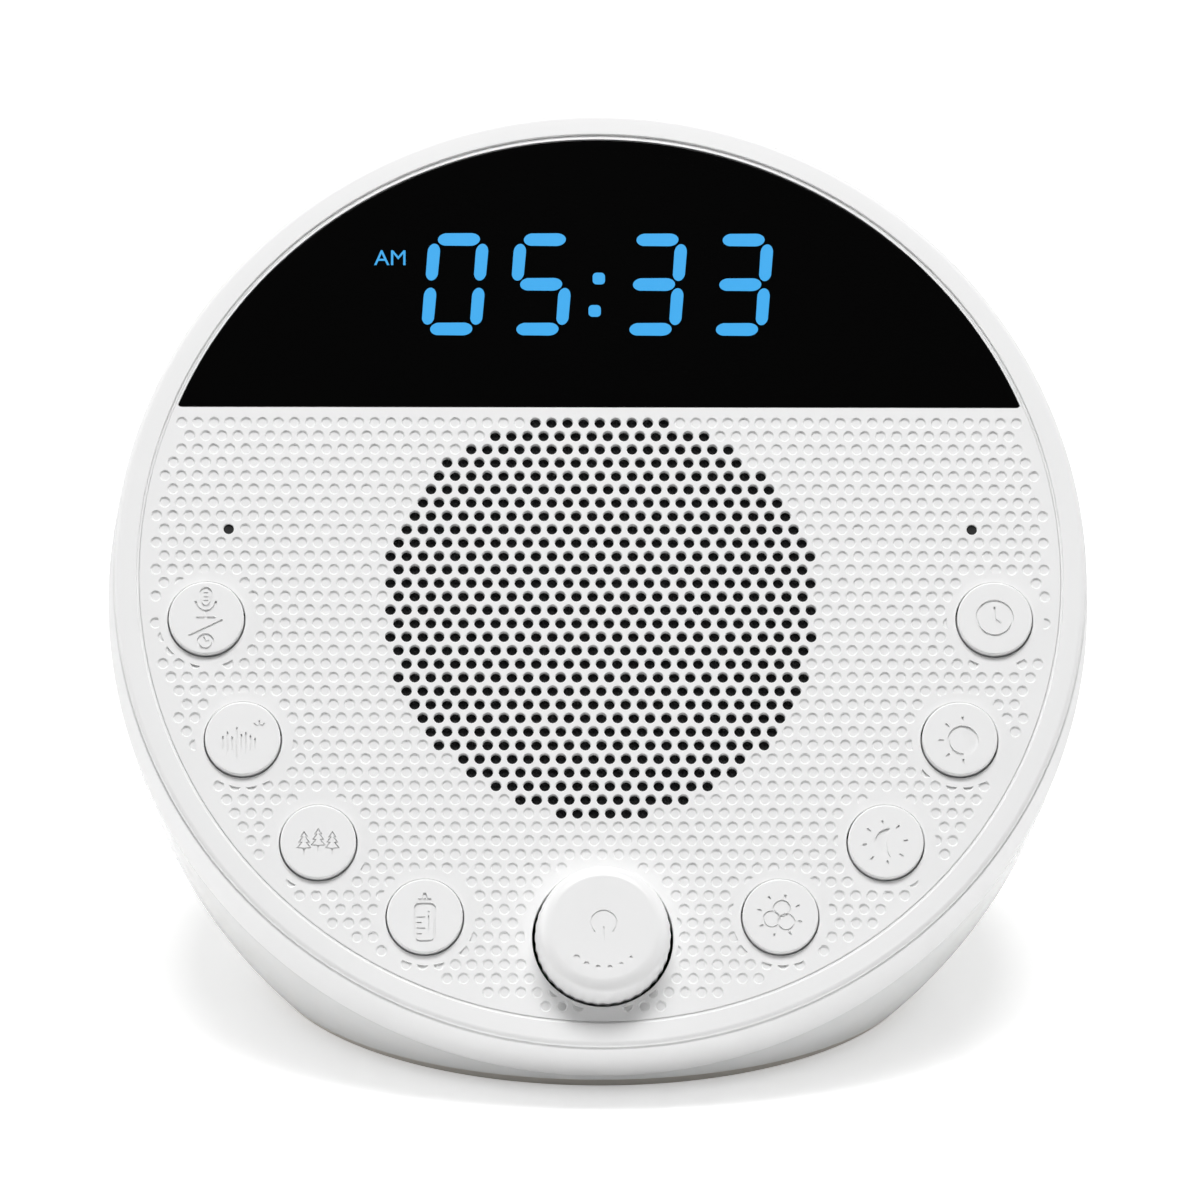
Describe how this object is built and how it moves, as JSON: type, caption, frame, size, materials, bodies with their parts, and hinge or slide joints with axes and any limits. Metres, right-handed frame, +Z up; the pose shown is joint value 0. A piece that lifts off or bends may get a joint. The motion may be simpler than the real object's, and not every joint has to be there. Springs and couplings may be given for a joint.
{
  "type": "white noise sound machine",
  "caption": "Ball-shaped bedside sound machine and night light with a round leaning front: clock display, speaker grille, push buttons and a push-and-turn knob.",
  "frame": {"origin": "centre of the foot's underside, on the surface it stands on", "axes": "+Z up; -Y the side that the face looks to; +X to the right of someone facing the front"},
  "size_m": [0.135, 0.1218, 0.1185],
  "materials": {
    "housing_white": "fine satin moulding",
    "button_white": "fine satin moulding",
    "knob_white": "fine satin moulding",
    "milky_diffuser": "polished, milky and translucent",
    "smoked_lens": "polished, nearly black",
    "blue_light": "lit from behind",
    "black_plastic": "moulded",
    "chassis_white": "moulded",
    "circuit_board": "solder mask",
    "circuit_board_white": "white solder mask",
    "flex_cable": "laminated",
    "can_metal": "nickel plated",
    "shaft_metal": "turned",
    "foam_black": "closed cell foam",
    "rubber_black": "moulded",
    "cone_black": "pressed paper",
    "speaker_steel": "pressed and coated",
    "magnet_grey": "sintered ferrite and steel",
    "screw_steel": "zinc plated",
    "led_white": "phosphor",
    "rubber_foot": "moulded"
  },
  "bodies": {
    "housing": {"front_bezel": "housing_white", "grille_panel": "housing_white", "rear_shell": "milky_diffuser", "display_lens": "smoked_lens", "digit_light_bars": "blue_light", "display_module": "black_plastic", "display_board": "circuit_board", "main_board": "circuit_board", "light_board": "circuit_board_white", "power_board": "circuit_board", "display_ribbon": "flex_cable", "tact_switches": "black_plastic", "microphones": "can_metal", "encoder_body": "can_metal", "speaker_gasket": "foam_black", "speaker_frame": "speaker_steel", "speaker_surround": "rubber_black", "speaker_cone": "cone_black", "speaker_magnet": "magnet_grey", "speaker_screws": "screw_steel", "board_screws": "screw_steel", "chassis_screws": "screw_steel", "base_screws": "screw_steel", "chassis": "chassis_white", "night_light_leds": "led_white", "power_inlet": "can_metal", "base_plate": "chassis_white", "rubber_foot": "rubber_foot"},
    "button_record_timer": {"button_record_timer": "button_white"},
    "button_white_noise": {"button_white_noise": "button_white"},
    "button_nature": {"button_nature": "button_white"},
    "button_lullaby": {"button_lullaby": "button_white"},
    "button_colour": {"button_colour": "button_white"},
    "button_night_light": {"button_night_light": "button_white"},
    "button_brightness": {"button_brightness": "button_white"},
    "button_clock": {"button_clock": "button_white"},
    "push_plunger": {"push_plunger": "black_plastic"},
    "knob": {"knob": "knob_white", "encoder_shaft": "shaft_metal"}
  },
  "joints": [
    {"name": "record_timer_press", "type": "slide", "parent": "housing", "child": "button_record_timer", "axis": [0, 0.8192, -0.5736], "range_m": [0, 0.0008], "stiffness_N_per_m": 800, "springref_m": -0.001},
    {"name": "white_noise_press", "type": "slide", "parent": "housing", "child": "button_white_noise", "axis": [0, 0.8192, -0.5736], "range_m": [0, 0.0008], "stiffness_N_per_m": 800, "springref_m": -0.001},
    {"name": "nature_press", "type": "slide", "parent": "housing", "child": "button_nature", "axis": [0, 0.8192, -0.5736], "range_m": [0, 0.0008], "stiffness_N_per_m": 800, "springref_m": -0.001},
    {"name": "lullaby_press", "type": "slide", "parent": "housing", "child": "button_lullaby", "axis": [0, 0.8192, -0.5736], "range_m": [0, 0.0008], "stiffness_N_per_m": 800, "springref_m": -0.001},
    {"name": "colour_press", "type": "slide", "parent": "housing", "child": "button_colour", "axis": [0, 0.8192, -0.5736], "range_m": [0, 0.0008], "stiffness_N_per_m": 800, "springref_m": -0.001},
    {"name": "night_light_press", "type": "slide", "parent": "housing", "child": "button_night_light", "axis": [0, 0.8192, -0.5736], "range_m": [0, 0.0008], "stiffness_N_per_m": 800, "springref_m": -0.001},
    {"name": "brightness_press", "type": "slide", "parent": "housing", "child": "button_brightness", "axis": [0, 0.8192, -0.5736], "range_m": [0, 0.0008], "stiffness_N_per_m": 800, "springref_m": -0.001},
    {"name": "clock_press", "type": "slide", "parent": "housing", "child": "button_clock", "axis": [0, 0.8192, -0.5736], "range_m": [0, 0.0008], "stiffness_N_per_m": 800, "springref_m": -0.001},
    {"name": "knob_push", "type": "slide", "parent": "housing", "child": "push_plunger", "axis": [0, 0.8192, -0.5736], "range_m": [0, 0.0007], "stiffness_N_per_m": 1500, "springref_m": -0.001},
    {"name": "knob_turn", "type": "hinge", "parent": "push_plunger", "child": "knob", "pos_m": [0, -0.0484, 0.02271], "axis": [0, 0.8192, -0.5736], "continuous": true}
  ]
}
